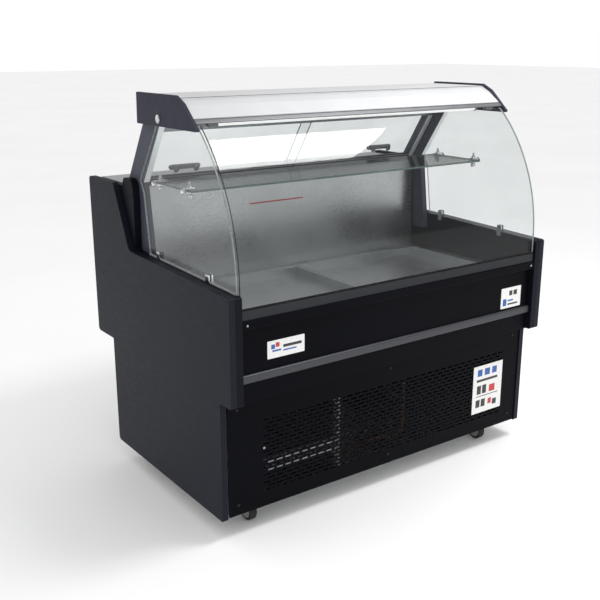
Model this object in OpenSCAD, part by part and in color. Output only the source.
// Refrigerated deli display case: insulated tub between two end panels, curved front glass,
// canopy on two bent posts, sliding rear doors, condensing unit in the base, four casters.
// Millimetres, +Z up, the front faces -Y. The origin is on the floor under the middle of the case.

/* [Case] */
// Overall width over the end panels
case_w = 1219; // [1180:1:1260]
// Overall depth from the front edge of the end panels to their rear edge
case_d = 851; // [846:1:866]
// Overall height from the floor to the canopy top
case_h = 1219; // [1214:1:1224]
// Height of the base's lower edge above the floor
skirt_z = 64; // [62:1:68]
// Height of the overhanging body's underside
body_z = 423; // [420:1:426]
// Height of the rear worktop's upper face
worktop_z = 936; // [934:1:938]

/* [End panels] */
// Thickness of the outer board
board_t = 18; // [16:1:20]
// Thickness of the inner cheek liner
liner_t = 22; // [20:1:24]
// Height of the cheek's top edge at the front
cheek_front_z = 728; // [724:1:732]
// Height of the cheek's top edge where it meets the rear block
cheek_rear_z = 745; // [742:1:748]
// Height of the rear block's top
block_top_z = 943; // [941:1:946]
// Corner radius of the panels
corner_r = 12; // [8:1:14]

/* [Base] */
// Front face of the base, measured back from the case's front
base_setback = 58; // [54:1:62]
// Rear face of the base, measured in from the case's rear
base_rear_setback = 115; // [110:1:120]
// Rows of air slots in the front grille
grille_rows = 14; // [10:1:15]

/* [Front glass] */
// Thickness of every glass pane
glass_t = 5; // [4:0.5:6]
// Outer radius of the curved front glass
glass_r = 555; // [550:1:560]
// Height at which the curve begins
glass_curve_z = 740; // [736:1:744]

/* [Shelf and deck] */
// Height of the glass shelf's lower face
shelf_z = 960; // [950:1:965]
// Depth of the glass shelf
shelf_d = 225; // [200:5:230]
// Height of the ledges that the deck pans rest on
deck_z = 615; // [605:1:620]
// Depth of the deck pans below their rims
pan_depth = 26; // [20:1:30]

/* [Rear doors] */
// Lean of the rear doors from the vertical, in degrees
door_lean = 33.25; // [32:0.25:34]
// Height of one door along its lean
door_h = 198; // [190:1:200]

/* [Casters] */
// Radius of a caster wheel
wheel_r = 31.5; // [30:0.5:32]
// Width of a caster wheel
wheel_w = 24; // [20:1:26]
// Distance of the wheel's axle from the swivel axis
trail = 24; // [20:1:26]

/* [Hidden] */
$fn = 48;

black = [0.07, 0.07, 0.08];
slate = [0.17, 0.17, 0.2];
steel = [0.72, 0.73, 0.74];
alu = [0.85, 0.86, 0.87];
grey = [0.45, 0.46, 0.48];
foam = [0.9, 0.85, 0.6];
clear = [0.75, 0.88, 0.85, 0.35];
copper = [0.72, 0.42, 0.25];
chrome = [0.8, 0.8, 0.82];

// Planes of the case
out_x = case_w / 2;
board_x = out_x - board_t;
in_x = board_x - liner_t;
front_y = -case_d / 2;
rear_y = case_d / 2;
base_front_y = front_y + base_setback;
base_rear_y = rear_y - base_rear_setback;

// Rear block and posts
block_front_y = 245;
block_knee_y = 156;
wall_foot = [146, 588];
wall_head = [160, worktop_z - 6];
post_t = 20;
post_x = in_x - post_t;

// Fascia stack on the front of the tub, from the underside up
fascia_y = front_y + 17.5;
sheet_t = 3;
fascia_x = in_x - 3;
strip_z = [480, 505];
rail_z = [634, 659];
foam_front_y = fascia_y + sheet_t;
tub_front_y = foam_front_y + 50;
rail_rear_y = tub_front_y + 6;
tub_floor_z = body_z + 52;
tub_rear_y = 372;

// Front glass: its arc is centred behind the case's front, and it turns about the rail
glass_c = [front_y + 10.5 + glass_r, glass_curve_z];
pivot = [front_y + 13.5, 660];
glass_x = in_x - 1.5;
glass_foot_z = 666;
glass_top_z = 1146.5;
shoe_r = 8;
pin_r = 3;
pin_gap = 0.05;

// Canopy
canopy_z = 1131;
cap_x = [in_x + 10, in_x + 20];
roof_z = 1149;
canopy_rear_y = 95;

// Rear door plane: its foot on the worktop, leaning forward
door_foot = [180, 945];
door_x = [-15, post_x - 2.5];
channel_w = 6.2;

// Deck
pan_x = [2, post_x - 3];
pan_y = [-345, 136];
ledge_t = 3;

// Machinery in the base and under the deck
coil_x = [-474, -200];
coil_y = [-340, -300];
coil_z = [108, 350];
fan_c = [(coil_x[0] + coil_x[1]) / 2, (coil_z[0] + coil_z[1]) / 2];
condenser_fan_y = -282;
pan_floor_z = 88;
pan_floor_t = 4;
pipe_r = 5;
evap_y = [-120, 70];
evap_fan_y = -160;
evap_c_z = 532;
gland_c = [470, 150];
gland_r = 9;
stud_z = 68;
stud_r = 6;
caster_x = 480;
caster_front_y = -270;
caster_rear_y = 235;

// Outline helpers. Points are [across, up] or [across, up, corner radius].
function unit(v) = v / norm(v);
function corner_arc(a, p, b, r, n) = r <= 0 ? [p] :
    let (u = unit(a - p), v = unit(b - p), half = acos(u * v) / 2,
        c = p + unit(u + v) * r / sin(half),
        s = p + u * r / tan(half) - c, e = p + v * r / tan(half) - c,
        start = atan2(s.y, s.x), turn = atan2(s.x * e.y - s.y * e.x, s * e))
    [for (k = [0:n]) c + r * [cos(start + turn * k / n), sin(start + turn * k / n)]];
function rounded(pts, n = 5) = let (m = len(pts))
    [for (i = [0:m - 1]) let (a = pts[(i + m - 1) % m], p = pts[i], b = pts[(i + 1) % m])
        each corner_arc([a[0], a[1]], [p[0], p[1]], [b[0], b[1]], len(p) > 2 ? p[2] : 0, n)];
function span(c, low, high) = [c + low, c + high];
function flip(pts) = [for (i = [len(pts) - 1:-1:0]) pts[i]];

// A box given by its three ranges
module block(x, y, z)
    translate([x[0], y[0], z[0]]) cube([x[1] - x[0], y[1] - y[0], z[1] - z[0]]);

// An outline in the Y-Z plane, extruded along X
module slab(x, pts)
    translate([x[0], 0, 0]) rotate([90, 0, 90]) linear_extrude(x[1] - x[0]) polygon(pts);

// A rod or bore along X
module x_rod(x, c, r)
    translate([x[0], c[0], c[1]]) rotate([0, 90, 0]) cylinder(h = x[1] - x[0], r = r);

// A rod or bore along Y
module y_rod(y, c, r)
    translate([c[0], y[1], c[1]]) rotate([90, 0, 0]) cylinder(h = y[1] - y[0], r = r);

module mirrored(left) {
    if (left) mirror([1, 0, 0]) children();
    else children();
}

module both_sides() {
    children();
    mirror([1, 0, 0]) children();
}

// The rear doors' own frame: X along the case, Z up the lean, Y out of the case
module door_frame()
    translate([0, door_foot[0], door_foot[1]]) rotate([door_lean, 0, 0]) children();
function door_point(y, z) = [door_foot[0] + y * cos(door_lean) - z * sin(door_lean),
    door_foot[1] + y * sin(door_lean) + z * cos(door_lean)];

// ---- End panels and posts ----

board_outline = rounded([
    [rear_y, body_z, corner_r], [rear_y, block_top_z, corner_r],
    [block_front_y, block_top_z, 10], [block_knee_y, cheek_rear_z, 25],
    [front_y, cheek_front_z, 8], [front_y, body_z, 6],
    [base_front_y, body_z, 4], [base_front_y, skirt_z, 6],
    [base_rear_y, skirt_z, corner_r], [base_rear_y, body_z, 4]]);

// The liner stands forward of the board at the rear block and rounds over the post's knee
liner_outline = rounded([
    [rear_y - 2, body_z, corner_r], [rear_y - 2, worktop_z, 8],
    [214, worktop_z, 3], [208, 962, 18], [148, 962, 26], [142, 900, 30],
    [146, cheek_rear_z - 1, 12], [front_y, cheek_front_z - 1, 8], [front_y, body_z, 6]]);

module end_panel(left)
    color(black) mirrored(left) slab([board_x, out_x], board_outline);

module cheek_liner(left)
    color(black) mirrored(left) slab([in_x, board_x], liner_outline);

post_outline = rounded([
    [canopy_rear_y - 10, roof_z], [-16, roof_z], [118, 950, 12], [114, 925, 12],
    [84, 690, 4], [wall_foot[0] - 2, 690, 4], [wall_head[0] - 2, 925, 6],
    [wall_head[0] - 2, worktop_z, 0], [206, worktop_z + 2, 8], [215, 950, 6]]);

module post(left)
    color(grey) mirrored(left) slab([post_x, in_x], post_outline);

// ---- Base ----

// Welded frame: its members stand a seam apart, so that each stays a plain bar or plate
module base_frame() {
    base_x = board_x - 1;
    y = [base_front_y + 10, base_rear_y - 8];
    tube = 30;
    seam = 0.1;
    plate_t = 4;
    plate_z = pan_floor_z - seam - plate_t;
    color(steel) {
        block([-base_x, base_x], y, [pan_floor_z, pan_floor_z + pan_floor_t]);
        // Turned-down rims of the floor pan
        for (edge = [[y[0], y[0] + 3], [y[1] - 3, y[1]]])
            block([-base_x, base_x], edge, [skirt_z + 6, pan_floor_z - seam]);
        // Corner uprights and the top rails that carry the tub
        both_sides() for (corner = [y[0], y[1] - tube])
            block([base_x - tube, base_x], [corner, corner + tube],
                [pan_floor_z + pan_floor_t + seam, body_z - tube - seam]);
        both_sides() block([base_x - tube, base_x], y, [body_z - tube, body_z]);
        for (corner = [y[0], y[1] - tube])
            block([-base_x + tube + seam, base_x - tube - seam], [corner, corner + tube],
                [body_z - tube, body_z]);
        // Caster top plates with their swivel studs
        for (x = [-caster_x, caster_x], cy = [caster_front_y, caster_rear_y]) {
            block([x - 32, x + 32], [cy - 32, cy + 32], [plate_z, plate_z + plate_t]);
            translate([x, cy, stud_z]) cylinder(h = plate_z - seam - stud_z, r = stud_r);
        }
    }
}

module slotted_panel(y, z, slot_x, slot_z, rows, columns, slot_h) {
    pitch_x = (slot_x[1] - slot_x[0]) / columns;
    pitch_z = (slot_z[1] - slot_z[0]) / rows;
    difference() {
        block([-board_x + 5, board_x - 5], y, z);
        for (row = [0:rows - 1], column = [0:columns - 1])
            block([slot_x[0] + column * pitch_x + 6, slot_x[0] + (column + 1) * pitch_x - 6],
                [y[0] - 1, y[1] + 1],
                span(slot_z[0] + row * pitch_z, 0, slot_h));
    }
}

module front_grille()
    color(black) slotted_panel([base_front_y + 3, base_front_y + 6], [skirt_z + 5, body_z - 1],
        [-474, 530], [116, 346], grille_rows, 4, 6);

module rear_grille()
    color(black) difference() {
        slotted_panel([base_rear_y - 6, base_rear_y - 3], [skirt_z + 5, body_z - 1],
            [-500, 380], [116, 346], 12, 4, 8);
        y_rod([base_rear_y - 7, base_rear_y - 2], gland_c, gland_r + 0.3);
    }

// ---- Insulated tub ----

module tank_insulation()
    color(foam) {
        block([-in_x, in_x], [foam_front_y, tub_front_y], [body_z + 3, rail_z[0]]);
        block([-in_x, in_x], [tub_front_y, tub_rear_y], [body_z + 3, tub_floor_z]);
        block([-in_x, in_x], [tub_rear_y + 1.5, 408], [body_z + 3, worktop_z - 6]);
    }

module tank_liner()
    color(steel) {
        block([-in_x, in_x], [tub_front_y, tub_front_y + 1.5], [tub_floor_z + 1, rail_z[0]]);
        block([-in_x, in_x], [tub_front_y, tub_rear_y + 1.5], [tub_floor_z, tub_floor_z + 1.5]);
        block([-in_x, in_x], [tub_rear_y, tub_rear_y + 1.5], [tub_floor_z + 1, worktop_z - 6]);
    }

module lower_fascia()
    color(black) {
        block([-fascia_x, fascia_x], [fascia_y, foam_front_y], [body_z, strip_z[0]]);
        block([-fascia_x, fascia_x], [fascia_y + 1, base_front_y], [body_z, body_z + 2.5]);
    }

module bumper_strip()
    color(grey) slab([-fascia_x, fascia_x], rounded([
        [foam_front_y, strip_z[0]], [foam_front_y, strip_z[1]],
        [fascia_y - 8, strip_z[1], 6], [fascia_y - 8, strip_z[0], 6]]));

module upper_fascia()
    color(black) block([-fascia_x, fascia_x], [fascia_y, foam_front_y], [strip_z[1], rail_z[0]]);

module front_rail()
    color(black) {
        difference() {
            slab([-in_x, in_x], rounded([
                [front_y + 1.5, rail_z[0], 3], [front_y + 1.5, rail_z[1], 1],
                [rail_rear_y, rail_z[1], 4], [rail_rear_y, rail_z[0]]]));
            x_rod([-in_x - 1, in_x + 1], pivot, shoe_r + 0.8);
        }
        // Pivot pins with the discs that carry them
        both_sides() {
            x_rod([in_x - 14, in_x], pivot, pin_r);
            x_rod([glass_x + 0.5, in_x], pivot, shoe_r + 0.8);
        }
    }

// Angle of the glass's top edge above the start of its arc
glass_turn = asin((glass_top_z - glass_curve_z) / glass_r);
function glass_arc(r, n, up = glass_turn) = [for (k = [0:n]) let (a = up * k / n)
    glass_c + r * [-cos(a), sin(a)]];

// Ring sector of the glass, cut from true circles
module glass_section()
    intersection() {
        difference() {
            circle(r = glass_r, $fn = 720);
            circle(r = glass_r - glass_t, $fn = 720);
        }
        polygon([[0, 0], [-2 * glass_r, 0],
            [-2 * glass_r * cos(glass_turn), 2 * glass_r * sin(glass_turn)]]);
    }

module front_glass()
    color(clear) {
        translate([-glass_x, glass_c[0], glass_c[1]]) rotate([90, 0, 90])
            linear_extrude(2 * glass_x) glass_section();
        block([-glass_x, glass_x], span(glass_c[0] - glass_r, 0, glass_t),
            [glass_foot_z, glass_curve_z]);
    }

module glass_shoe()
    color(slate) difference() {
        union() {
            x_rod([-glass_x, glass_x], pivot, shoe_r);
            block([-glass_x, glass_x], span(pivot[0], -shoe_r, shoe_r), [pivot[1], 686]);
        }
        block([-glass_x - 1, glass_x + 1], span(glass_c[0] - glass_r, 0, glass_t), [glass_foot_z, 700]);
        both_sides() x_rod([in_x - 15, in_x], pivot, pin_r + pin_gap);
    }

// ---- Rear block ----

module rear_wall()
    color(steel) slab([-post_x + 0.5, post_x - 0.5], [wall_foot, wall_foot + [2, 0],
        wall_head + [2, 0], wall_head]);

module rear_body_panel()
    color(black) {
        block([-in_x, in_x], [408, 411], [body_z, worktop_z - 6]);
        block([-in_x, in_x], [base_rear_y, 409], [body_z, body_z + 2.5]);
    }

module worktop()
    color(steel) {
        difference() {
            slab([-in_x, in_x], rounded([
                [wall_head[0] - 8, worktop_z - 6, 2], [wall_head[0] - 8, worktop_z, 2],
                [rear_y - 3, worktop_z, 2], [rear_y - 3, worktop_z - 6, 2]]));
            both_sides()
                block([post_x - 0.3, in_x + 1], [150, 224], [worktop_z - 10, worktop_z + 1]);
        }
        // Raised working area behind the doors, clear of the posts
        block([1 - in_x, in_x - 1], [226, rear_y - 6], [worktop_z - 1, worktop_z + 1]);
    }

// ---- Canopy ----

module end_cap(left)
    color(slate) mirrored(left) slab(cap_x, rounded([
        [canopy_rear_y, canopy_z, 3], [canopy_rear_y - 3, case_h, 4],
        [-140, case_h, 14], [-180, case_h - 19, 34], [-254, canopy_z + 3, 4],
        [-246, canopy_z, 3]]));

// Bent sheet: rear upstand, flat top, two slopes down to the lip
module canopy_shell() {
    top = case_h - 6;
    outer = rounded([[canopy_rear_y - 4, roof_z + 3], [canopy_rear_y - 4, top, 4], [-137, top, 16],
        [-176, top - 19, 34], [-220, roof_z + 12.5], [-217, roof_z + 11],
        [-214, roof_z + 11]]);
    color(alu) difference() {
        slab([-cap_x[0], cap_x[0]], outer);
        slab([-cap_x[0] - 1, cap_x[0] + 1], rounded([[canopy_rear_y - 6, roof_z - 1],
            [canopy_rear_y - 6, top - 2, 2], [-136, top - 2, 14], [-174, top - 21, 32],
            [-215, roof_z + 10], [-215, roof_z - 1]]));
    }
}

module canopy_lip()
    color(grey) {
        slab([-cap_x[0], cap_x[0]], rounded([[-234, roof_z, 2], [-223, roof_z + 11, 1],
            [-213, roof_z + 11], [-213, roof_z]]));
        // Catches that hold the top edge of the front glass
        both_sides() block([in_x - 60, in_x - 30], [-228, -214], [roof_z - 8, roof_z]);
    }

module canopy_underside()
    color(alu) block([-cap_x[0], cap_x[0]], [-213, canopy_rear_y - 6], [roof_z, roof_z + 3]);

module end_cap_plugs()
    color(chrome) both_sides() {
        x_rod([cap_x[1], cap_x[1] + 2], [-38, 1151], 12);
        x_rod([cap_x[1] + 2, cap_x[1] + 3.5], [-38, 1151], 9);
    }

module lamp_diffuser()
    color("white") slab([-500, 500], rounded([
        [-190, roof_z], [-160, roof_z], [-164, roof_z - 12, 5], [-186, roof_z - 12, 5]]));

// ---- Side glass and shelf ----

pane_x = [in_x + 1.5, in_x + 1.5 + glass_t];
side_turn = asin((roof_z - glass_curve_z) / (glass_r - glass_t - 3));

module side_glass(left)
    color(clear) mirrored(left) slab(pane_x, concat(
        [[80, cheek_rear_z], [104, 925], [126, 962], [-9, roof_z]],
        flip(glass_arc(glass_r - glass_t - 3, 14, side_turn)),
        [[glass_c[0] - glass_r + glass_t + 3, cheek_front_z + 0.5]]));

module side_glass_clips()
    color(chrome) both_sides() for (y = [-266, 20]) {
        z = cheek_front_z + (cheek_rear_z - cheek_front_z) * (y - front_y) / (block_knee_y - front_y);
        block([in_x - 4, in_x], [y - 9, y + 9], [z - 14, z + 1]);
        block([in_x - 4, pane_x[0]], [y - 9, y + 9], [z, z + 22]);
        block([pane_x[1], pane_x[1] + 4], [y - 9, y + 9], [z + 2, z + 22]);
    }

shelf_y = [-165, -165 + shelf_d];
shelf_x = in_x - 7;

module glass_shelf()
    color(clear) block([-shelf_x, shelf_x], shelf_y, [shelf_z, shelf_z + 6]);

// Each clamp grips the shelf from both faces and bears on the side glass
module shelf_clamps()
    color(chrome) both_sides() for (y = [shelf_y[0] + 25, shelf_y[1] - 28]) {
        block([shelf_x - 20, pane_x[0]], [y - 8, y + 8], [shelf_z - 5, shelf_z]);
        block([shelf_x - 20, pane_x[0]], [y - 8, y + 8], [shelf_z + 6, shelf_z + 11]);
        block([shelf_x, pane_x[0]], [y - 8, y + 8], [shelf_z - 1, shelf_z + 7]);
        translate([shelf_x - 8, y, shelf_z + 11]) cylinder(h = 18, r1 = 7, r2 = 2);
        translate([shelf_x - 8, y, shelf_z - 19]) cylinder(h = 14, r = 8);
        x_rod([pane_x[1], pane_x[1] + 6], [y, shelf_z + 3], 9);
    }

// ---- Rear doors ----

door_t = 5;

// Double channel, open upwards at z = depth
module track(depth, x)
    difference() {
        block(x, [-12, 12], [0, depth]);
        for (s = [-1, 1])
            block([x[0] - 1, x[1] + 1], [s * 5.5 - channel_w / 2, s * 5.5 + channel_w / 2],
                [4, depth + 1]);
    }

module door_tracks() {
    x = [-post_x + 1, post_x - 1];
    top = door_h + 14;
    foot_front = door_point(-12, 0);
    foot_rear = door_point(12, 0);
    head_front = door_point(-12, top);
    head_rear = door_point(12, top);
    color(alu) {
        door_frame() track(12, x);
        slab(x, [foot_front, foot_rear + [-0.2, 0], [foot_rear[0] - 0.2, worktop_z],
            [foot_front[0], worktop_z]]);
        door_frame() translate([0, 0, top]) mirror([0, 0, 1]) track(14, x);
        slab(x, [head_front, [head_front[0], roof_z], [head_rear[0], roof_z], head_rear]);
    }
}

module door(left)
    color(clear) door_frame() mirrored(left)
        block(door_x, left ? [-5.5 - door_t / 2, -5.5 + door_t / 2]
            : [5.5 - door_t / 2, 5.5 + door_t / 2], [5.5, 5.5 + door_h]);

// Bar grip on two feet, on the outer face of the pane
module door_handle(left) {
    face = left ? -3 : 8;
    grip = [345, 455];
    color(grey) door_frame() mirrored(left) {
        for (x = [grip[0] + 8, grip[1] - 26])
            block([x, x + 18], [face, face + 12], [32, 44]);
        translate([grip[0], face + 16, 38]) rotate([0, 90, 0])
            cylinder(h = grip[1] - grip[0], r = 8);
    }
}

// ---- Deck ----

module deck_pan(left) {
    wall = 1.5;
    x = [pan_x[0] + 10, pan_x[1] - 16];
    y = [pan_y[0] + 22, pan_y[1] - 22];
    color(steel) mirrored(left) difference() {
        union() {
            block(pan_x, pan_y, [deck_z, deck_z + wall]);
            block(x, y, [deck_z - pan_depth, deck_z + 1]);
        }
        block(x + [wall, -wall], y + [wall, -wall], [deck_z - pan_depth + wall, deck_z + 2]);
    }
}

module deck_supports()
    color(steel) {
        // Front ledge on the liner, rear ledge on the wall, end ledges on the cheeks
        block([-in_x, in_x], [tub_front_y + 1.5, pan_y[0] + 20], [deck_z - ledge_t, deck_z]);
        block([-post_x + 1, post_x - 1], [pan_y[1] - 18, wall_foot[0]], [deck_z - ledge_t, deck_z]);
        block([-8, 8], [pan_y[0] + 19, pan_y[1] - 17], [deck_z - ledge_t, deck_z]);
        both_sides() block([pan_x[1] - 13, in_x], [pan_y[0] + 19, 80], [deck_z - ledge_t, deck_z]);
        // Legs down to the tub floor
        for (x = [-400, 0, 400])
            block([x - 8, x + 8], [tub_front_y + 1.5, tub_front_y + 4.5],
                [tub_floor_z + 1.5, deck_z - 1]);
        for (x = [-520, 0, 520])
            block([x - 8, x + 8], [wall_foot[0] - 4, wall_foot[0] - 1],
                [tub_floor_z + 1.5, deck_z - 1]);
    }

// ---- Evaporator under the deck ----

module coil_core(x, y, z, plate) {
    block([x[0] + plate, x[1] - plate], y, z);
    for (p = [[x[0], x[0] + plate], [x[1] - plate, x[1]]])
        block(p, [y[0] - 3, y[1] + 3], [z[0] - 3, z[1] + 3]);
}

module evaporator_coil() {
    z = [tub_floor_z + 12, tub_floor_z + 82];
    color(alu) {
        coil_core([-420, 420], evap_y, z, 3);
        for (x = [-420, 417], y = [evap_y[0], evap_y[1] - 10])
            block([x, x + 3], [y, y + 10], [tub_floor_z + 1.5, z[0]]);
    }
    color(copper) for (y = [evap_y[0] + 25:45:evap_y[1] - 20], end = [0, 1])
        mirror([end, 0, 0]) translate([420, y, z[0] + 20]) rotate([90, 0, 0])
            rotate([0, 0, -90]) rotate_extrude(angle = 180) translate([15, 0]) circle(r = 5);
}

module fan_blades(hub_r, tip_r, count, width, pitch)
    for (k = [0:count - 1])
        rotate([0, 0, k * 360 / count]) translate([hub_r - 1.5, 0, 0]) rotate([pitch, 0, 0])
            translate([0, -width / 2, -1]) cube([tip_r - hub_r, width, 2]);

// A fan wheel about Y, its front face at y, centred on c
module fan_wheel(y, c, hub_r, tip_r, count, width)
    translate([c[0], y, c[1]]) rotate([90, 0, 0]) difference() {
        union() {
            translate([0, 0, -9]) cylinder(h = 18, r = hub_r);
            fan_blades(hub_r, tip_r, count, width, 28);
        }
        translate([0, 0, -10]) cylinder(h = 20, r = pin_r + pin_gap);
    }

module evaporator_fan()
    color(black) fan_wheel(evap_fan_y, [0, evap_c_z], 14, 40, 6, 24);

module evaporator_fan_panel()
    color(alu) {
        difference() {
            block([-420, 420], [evap_fan_y - 1, evap_fan_y + 1], [tub_floor_z + 1.5, tub_floor_z + 108]);
            y_rod([evap_fan_y - 2, evap_fan_y + 2], [0, evap_c_z], 43);
        }
        // Motor behind the wheel on a bridge, with its shaft through the hub
        y_rod([evap_fan_y - 9, evap_fan_y + 14], [0, evap_c_z], pin_r);
        y_rod([evap_fan_y + 12, evap_fan_y + 32], [0, evap_c_z], 20);
        block([-60, 60], [evap_fan_y + 14, evap_fan_y + 17], [evap_c_z - 8, evap_c_z + 8]);
        for (x = [-60, 57])
            block([x, x + 3], [evap_fan_y + 0.5, evap_fan_y + 17], [evap_c_z - 8, evap_c_z + 8]);
    }

// ---- Condensing unit in the base ----

compressor_c = [230, 40];
comp_z = pan_floor_z + pan_floor_t;

module compressor()
    color(black) {
        translate([compressor_c[0], compressor_c[1], comp_z + 14]) rotate_extrude() polygon(concat(
            [[0, 0], [70, 0], [80, 12], [80, 96]],
            [for (a = [0:15:90]) [80 * cos(a), 96 + 52 * sin(a)]]));
        for (a = [45:90:315])
            translate([compressor_c[0], compressor_c[1], comp_z]) rotate([0, 0, a])
                translate([58, -16, 0]) cube([46, 32, 15]);
        // Terminal box, suction and discharge stubs
        block(span(compressor_c[0], 70, 104), span(compressor_c[1], -26, 26), span(comp_z, 50, 110));
        translate([compressor_c[0] - 40, compressor_c[1], comp_z + 130])
            cylinder(h = 48, r = pipe_r);
        translate([compressor_c[0] + 10, compressor_c[1] - 40, comp_z + 130])
            cylinder(h = 48, r = pipe_r);
    }

module condenser_coil()
    color(alu) {
        coil_core(coil_x, coil_y, coil_z, 3);
        for (x = [coil_x[0], coil_x[1] - 3])
            block([x, x + 3], coil_y, [comp_z, coil_z[0]]);
    }

module condenser_shroud() {
    y = [coil_y[1] + 3, condenser_fan_y + 26];
    motor_y = [condenser_fan_y + 13, condenser_fan_y + 55];
    color(black) {
        difference() {
            block(coil_x + [4, -4], y, coil_z);
            block(coil_x + [7, -7], [y[0] - 1, y[0] + 4], coil_z + [3, -3]);
            y_rod([y[0] - 1, y[1] + 1], fan_c, 108);
        }
        // Motor on a cross bar behind the ring
        block(coil_x + [4, -4], [y[1], y[1] + 4], span(fan_c[1], -9, 9));
        y_rod(motor_y, fan_c, 34);
        y_rod([condenser_fan_y - 9, motor_y[0] + 1], fan_c, pin_r);
        for (x = [coil_x[0] + 4, coil_x[1] - 24])
            block([x, x + 20], [y[1] - 4, y[1] + 20], [comp_z, coil_z[0] + 1]);
    }
}

module condenser_fan()
    color(alu) fan_wheel(condenser_fan_y, fan_c, 22, 102, 5, 46);

// Straight runs with slightly swelled ball joints at the bends
module pipe_run(pts, r) {
    for (i = [0:len(pts) - 2]) {
        d = pts[i + 1] - pts[i];
        translate(pts[i]) rotate([0, acos(d.z / norm(d)), atan2(d.y, d.x)])
            cylinder(h = norm(d), r = r, $fn = 24);
    }
    for (i = [1:len(pts) - 2]) translate(pts[i]) sphere(r = r * 1.12, $fn = 24);
}

module refrigerant_pipes() {
    stub_z = comp_z + 178;
    discharge = [compressor_c[0] - 40, compressor_c[1], stub_z];
    suction = [compressor_c[0] + 10, compressor_c[1] - 40, stub_z];
    coil_end = [coil_x[1], (coil_y[0] + coil_y[1]) / 2, coil_z[1] - 30];
    color(copper) {
        pipe_run([discharge, discharge + [0, 0, 40], [coil_end.x + 60, compressor_c[1], stub_z + 40],
            [coil_end.x + 60, coil_end.y, stub_z + 40], [coil_end.x + 60, coil_end.y, coil_end.z],
            coil_end], pipe_r);
        pipe_run([suction, suction + [0, 0, 20], suction + [150, 0, 20],
            [suction.x + 150, suction.y, body_z - 4]], pipe_r);
        // Filter drier on the liquid line
        pipe_run([[coil_x[1], coil_end.y, 140], [coil_x[1] + 70, coil_end.y, 140],
            [coil_x[1] + 130, coil_end.y, 140]], pipe_r);
        translate([coil_x[1] + 130, coil_end.y, 140]) rotate([0, 90, 0]) cylinder(h = 90, r = 12);
        pipe_run([[coil_x[1] + 220, coil_end.y, 140], [coil_x[1] + 300, coil_end.y, 140],
            [coil_x[1] + 300, coil_end.y, body_z - 4]], pipe_r);
    }
}

// ---- Controls on the rear panel ----

panel_c = [330, 850];
panel_y = 411;
button_r = 6;

module control_panel()
    color(slate) difference() {
        block(span(panel_c[0], -90, 90), [panel_y, panel_y + 8], span(panel_c[1], -32, 32));
        y_rod([panel_y + 3, panel_y + 9], panel_c + [22, 0], button_r + 0.4);
        block(span(panel_c[0], 46.6, 73.4), [panel_y + 2, panel_y + 9], span(panel_c[1], -10.4, 10.4));
        // Window of the temperature display
        block(span(panel_c[0], -72, -8), [panel_y + 6.5, panel_y + 9], span(panel_c[1], -14, 14));
    }

module temperature_button()
    color(grey) y_rod([panel_y + 5, panel_y + 11], panel_c + [22, 0], button_r);

// Rocker that turns about its middle
rocker_c = [panel_y + 7.5, panel_c[1]];
module light_switch()
    color(black) slab(span(panel_c[0], 47.2, 72.8), [rocker_c + [-1.5, -9], rocker_c + [-1.5, 9],
        rocker_c + [4.5, 9], rocker_c + [2, 0], rocker_c + [1, -9]]);

// Cable gland for the mains lead
module power_inlet()
    color(black) difference() {
        union() {
            y_rod([base_rear_y - 22, base_rear_y + 12], gland_c, gland_r);
            for (nut_y = [base_rear_y - 12, base_rear_y - 3])
                translate([gland_c[0], nut_y, gland_c[1]]) rotate([-90, 30, 0])
                    cylinder(h = 6, r = 14, $fn = 6);
        }
        y_rod([base_rear_y - 23, base_rear_y + 13], gland_c, 5);
    }

// ---- Casters ----

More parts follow.
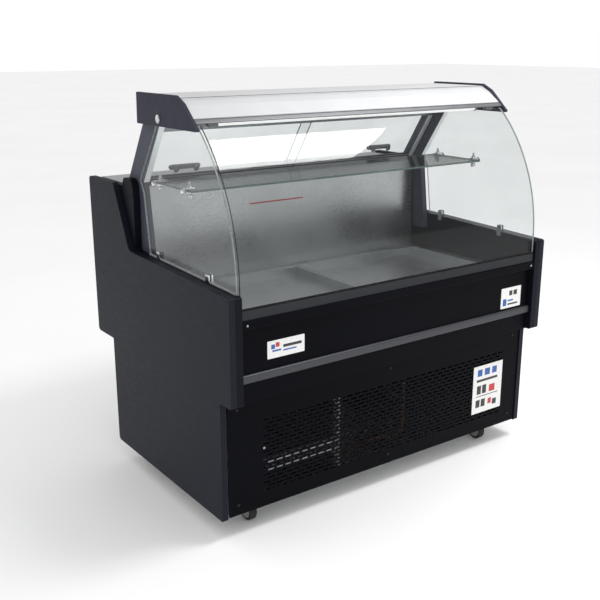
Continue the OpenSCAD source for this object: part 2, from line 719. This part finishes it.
module fork(x, y)
    color(chrome) translate([x, y, 0]) {
        gap = wheel_w / 2 + 1;
        difference() {
            translate([0, 0, 70]) cylinder(h = 7, r = 24);
            translate([0, 0, 60]) cylinder(h = 20, r = stud_r + pin_gap);
        }
        for (s = [-1, 1])
            slab(s > 0 ? [gap, gap + 3] : [-gap - 3, -gap], rounded([
                [-trail - 9, wheel_r - 9, 7], [-trail + 9, wheel_r - 9, 7],
                [14, 71], [-19, 71]]));
        x_rod([-gap - 3, gap + 3], [-trail, wheel_r], 4);
    }

module wheel(x, y)
    color([0.12, 0.12, 0.12]) translate([x, y - trail, wheel_r]) rotate([0, 90, 0])
        rotate_extrude() polygon([[4.06, -wheel_w / 2], [wheel_r - 3, -wheel_w / 2],
            [wheel_r, -wheel_w / 2 + 3], [wheel_r, wheel_w / 2 - 3],
            [wheel_r - 3, wheel_w / 2], [4.06, wheel_w / 2]]);

end_panel(true);  // left_end_panel
end_panel(false);  // right_end_panel
cheek_liner(true);  // left_cheek_liner
cheek_liner(false);  // right_cheek_liner
post(true);  // left_post
post(false);  // right_post
base_frame();
front_grille();
rear_grille();
tank_insulation();
tank_liner();
lower_fascia();
bumper_strip();
upper_fascia();
front_rail();
front_glass();
glass_shoe();
rear_wall();
rear_body_panel();
worktop();
canopy_shell();
canopy_lip();
canopy_underside();
end_cap(true);  // left_end_cap
end_cap(false);  // right_end_cap
end_cap_plugs();
lamp_diffuser();
side_glass(true);  // left_side_glass
side_glass(false);  // right_side_glass
side_glass_clips();
glass_shelf();
shelf_clamps();
door_tracks();
door(true);  // left_door
door(false);  // right_door
door_handle(true);  // left_door_handle
door_handle(false);  // right_door_handle
deck_pan(true);  // left_deck_pan
deck_pan(false);  // right_deck_pan
deck_supports();
evaporator_coil();
evaporator_fan_panel();
evaporator_fan();
compressor();
condenser_coil();
condenser_shroud();
condenser_fan();
refrigerant_pipes();
control_panel();
light_switch();
temperature_button();
power_inlet();
fork(-caster_x, caster_front_y);  // front_left_fork
fork(caster_x, caster_front_y);  // front_right_fork
fork(-caster_x, caster_rear_y);  // rear_left_fork
fork(caster_x, caster_rear_y);  // rear_right_fork
wheel(-caster_x, caster_front_y);  // front_left_wheel
wheel(caster_x, caster_front_y);  // front_right_wheel
wheel(-caster_x, caster_rear_y);  // rear_left_wheel
wheel(caster_x, caster_rear_y);  // rear_right_wheel
